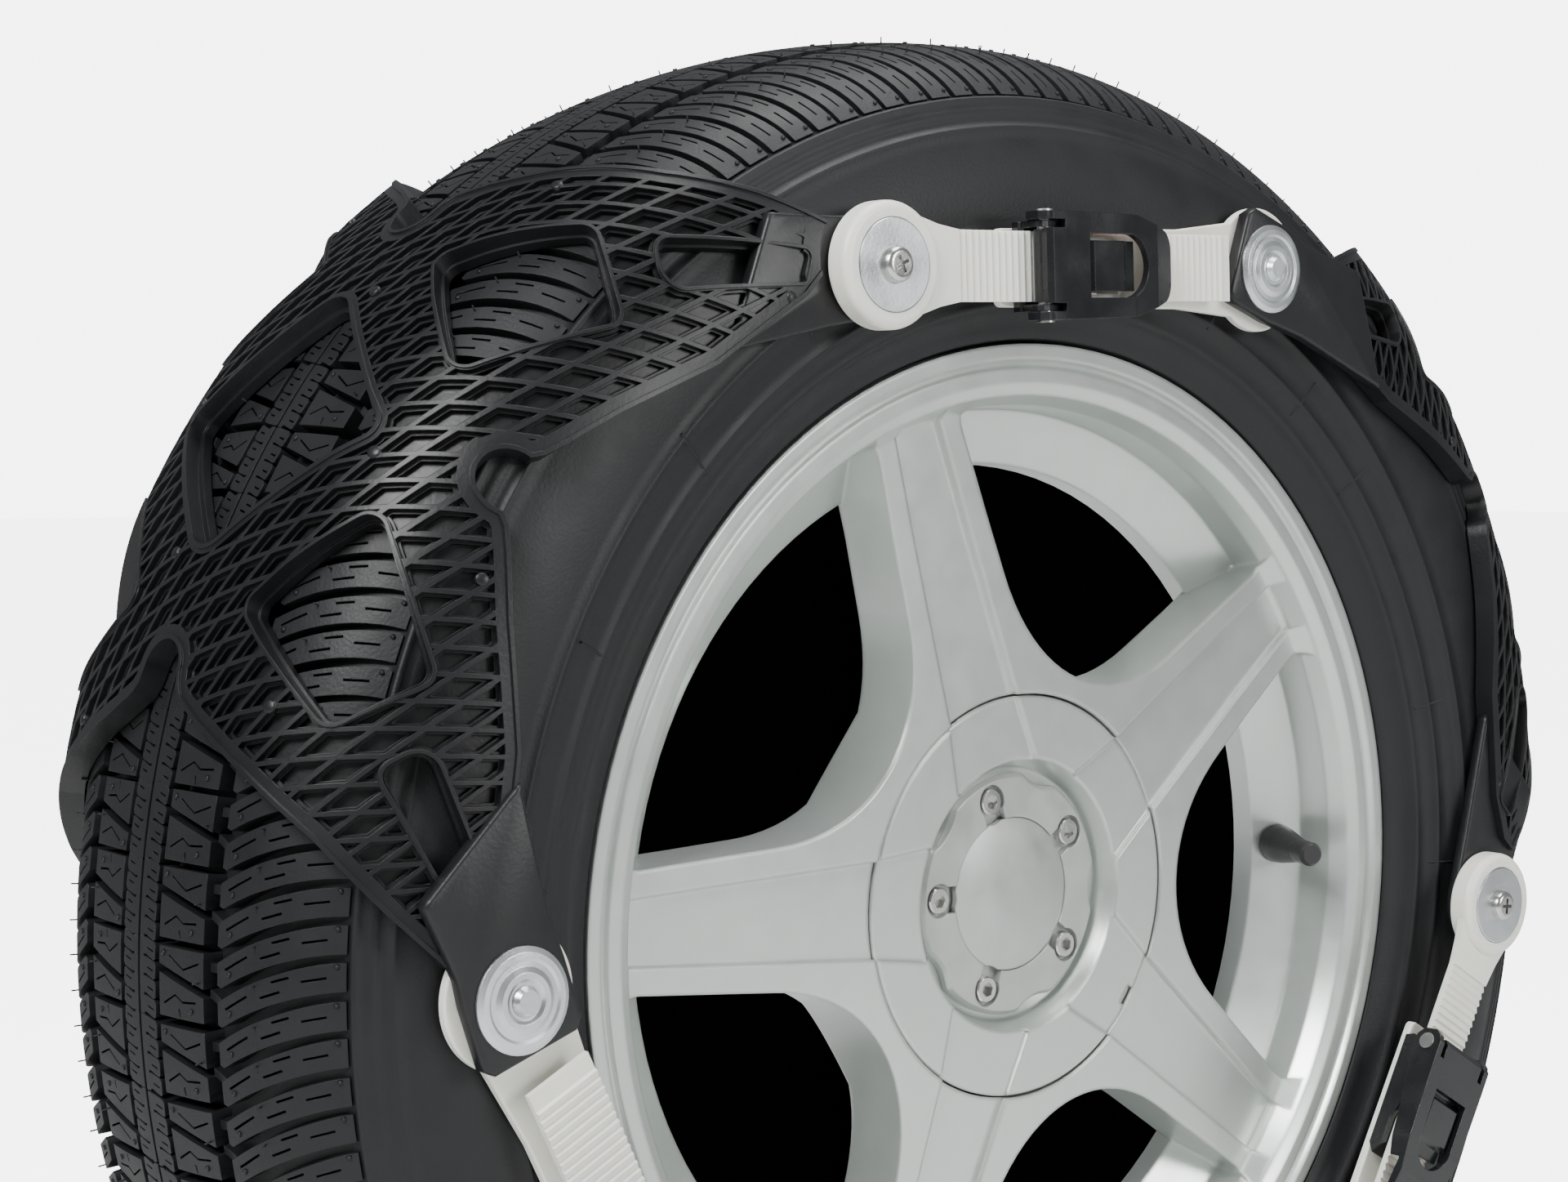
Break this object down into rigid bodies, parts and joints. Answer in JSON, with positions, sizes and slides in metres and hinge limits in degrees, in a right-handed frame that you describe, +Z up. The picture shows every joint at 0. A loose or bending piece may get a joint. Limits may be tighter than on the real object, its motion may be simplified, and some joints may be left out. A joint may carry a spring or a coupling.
{
  "type": "snow cover on a car wheel",
  "caption": "Passenger car wheel wearing a segmented rubber snow traction cover, its lattice panels pulled together by ratchet straps.",
  "frame": {"origin": "centre of the hub's mounting face, on the spin axis", "axes": "+Y along the spin axis towards the vehicle, +Z up, street side faces -Y"},
  "size_m": [0.648, 0.2279, 0.6554],
  "materials": {
    "tyre_rubber": "matt moulded rubber",
    "silver_paint": "satin silver paint with clear coat",
    "cap_paint": "satin silver paint",
    "bright_steel": "bright plated steel",
    "valve_rubber": "satin black",
    "brass": "plain",
    "panel_rubber": "semi-gloss moulded rubber",
    "white_nylon": "satin off-white",
    "zinc_plate": "zinc plated",
    "black_plastic": "semi-gloss black"
  },
  "bodies": {
    "root": {"alloy_rim": "silver_paint", "base_strap_1": "white_nylon", "base_strap_2": "white_nylon", "base_strap_3": "white_nylon", "buckle_base_1": "black_plastic", "buckle_base_2": "black_plastic", "buckle_base_3": "black_plastic", "buckle_rivets": "bright_steel", "cap_medallion": "cap_paint", "cap_screws": "bright_steel", "centre_cap": "cap_paint", "dome_rivets": "zinc_plate", "dome_washers": "zinc_plate", "hub_cover": "silver_paint", "inner_band_1": "white_nylon", "inner_band_2": "white_nylon", "inner_band_3": "white_nylon", "inner_rivets": "zinc_plate", "lever_pins": "bright_steel", "tab_pins": "bright_steel", "tab_spring_1": "bright_steel", "tab_spring_2": "bright_steel", "tab_spring_3": "bright_steel", "tread_panel_1": "panel_rubber", "tread_panel_2": "panel_rubber", "tread_panel_3": "panel_rubber", "tyre": "tyre_rubber", "valve_core": "brass", "valve_stem": "valve_rubber"},
    "ladder_1": {"ladder_strap_1": "white_nylon", "ring_washer_1": "zinc_plate", "ring_screw_1": "bright_steel", "ring_nut_1": "zinc_plate"},
    "lever_1": {"buckle_lever_1": "black_plastic"},
    "release_1": {"release_tab_1": "black_plastic"},
    "ladder_2": {"ladder_strap_2": "white_nylon", "ring_washer_2": "zinc_plate", "ring_screw_2": "bright_steel", "ring_nut_2": "zinc_plate"},
    "lever_2": {"buckle_lever_2": "black_plastic"},
    "release_2": {"release_tab_2": "black_plastic"},
    "ladder_3": {"ladder_strap_3": "white_nylon", "ring_washer_3": "zinc_plate", "ring_screw_3": "bright_steel", "ring_nut_3": "zinc_plate"},
    "lever_3": {"buckle_lever_3": "black_plastic"},
    "release_3": {"release_tab_3": "black_plastic"},
    "valve_cap": {"valve_cap": "valve_rubber"}
  },
  "joints": [
    {"name": "strap_tension_1", "type": "slide", "parent": "root", "child": "ladder_1", "axis": [0.9993, 0, 0.0384], "range_m": [-0.003, 0.008]},
    {"name": "buckle_lever_1", "type": "hinge", "parent": "root", "child": "lever_1", "pos_m": [-0.03074, -0.074, 0.23315], "axis": [0.0384, 0, -0.9993], "range_deg": [0, 90]},
    {"name": "release_tab_1", "type": "hinge", "parent": "root", "child": "release_1", "pos_m": [-0.01475, -0.0732, 0.23377], "axis": [0.0384, 0, -0.9993], "range_deg": [0, 12], "stiffness_Nm_per_rad": 0.02, "springref_deg": -17.19},
    {"name": "strap_tension_2", "type": "slide", "parent": "root", "child": "ladder_2", "axis": [-0.5027, 0, -0.8644], "range_m": [-0.003, 0.008]},
    {"name": "buckle_lever_2", "type": "hinge", "parent": "root", "child": "lever_2", "pos_m": [0.21294, -0.074, -0.08659], "axis": [-0.8644, 0, 0.5027], "range_deg": [0, 90]},
    {"name": "release_tab_2", "type": "hinge", "parent": "root", "child": "release_2", "pos_m": [0.2049, -0.0732, -0.10042], "axis": [-0.8644, 0, 0.5027], "range_deg": [0, 12], "stiffness_Nm_per_rad": 0.02, "springref_deg": -17.19},
    {"name": "strap_tension_3", "type": "slide", "parent": "root", "child": "ladder_3", "axis": [-0.4365, 0, 0.8997], "range_m": [-0.003, 0.008]},
    {"name": "buckle_lever_3", "type": "hinge", "parent": "root", "child": "lever_3", "pos_m": [-0.18646, -0.074, -0.13373], "axis": [0.8997, 0, 0.4365], "range_deg": [0, 90]},
    {"name": "release_tab_3", "type": "hinge", "parent": "root", "child": "release_3", "pos_m": [-0.19345, -0.0732, -0.11933], "axis": [0.8997, 0, 0.4365], "range_deg": [0, 12], "stiffness_Nm_per_rad": 0.02, "springref_deg": -17.19},
    {"name": "valve_cap_turn", "type": "hinge", "parent": "root", "child": "valve_cap", "pos_m": [0.17329, -0.011, 0.00151], "axis": [-0.4384, -0.8988, -0.0038], "continuous": true}
  ]
}
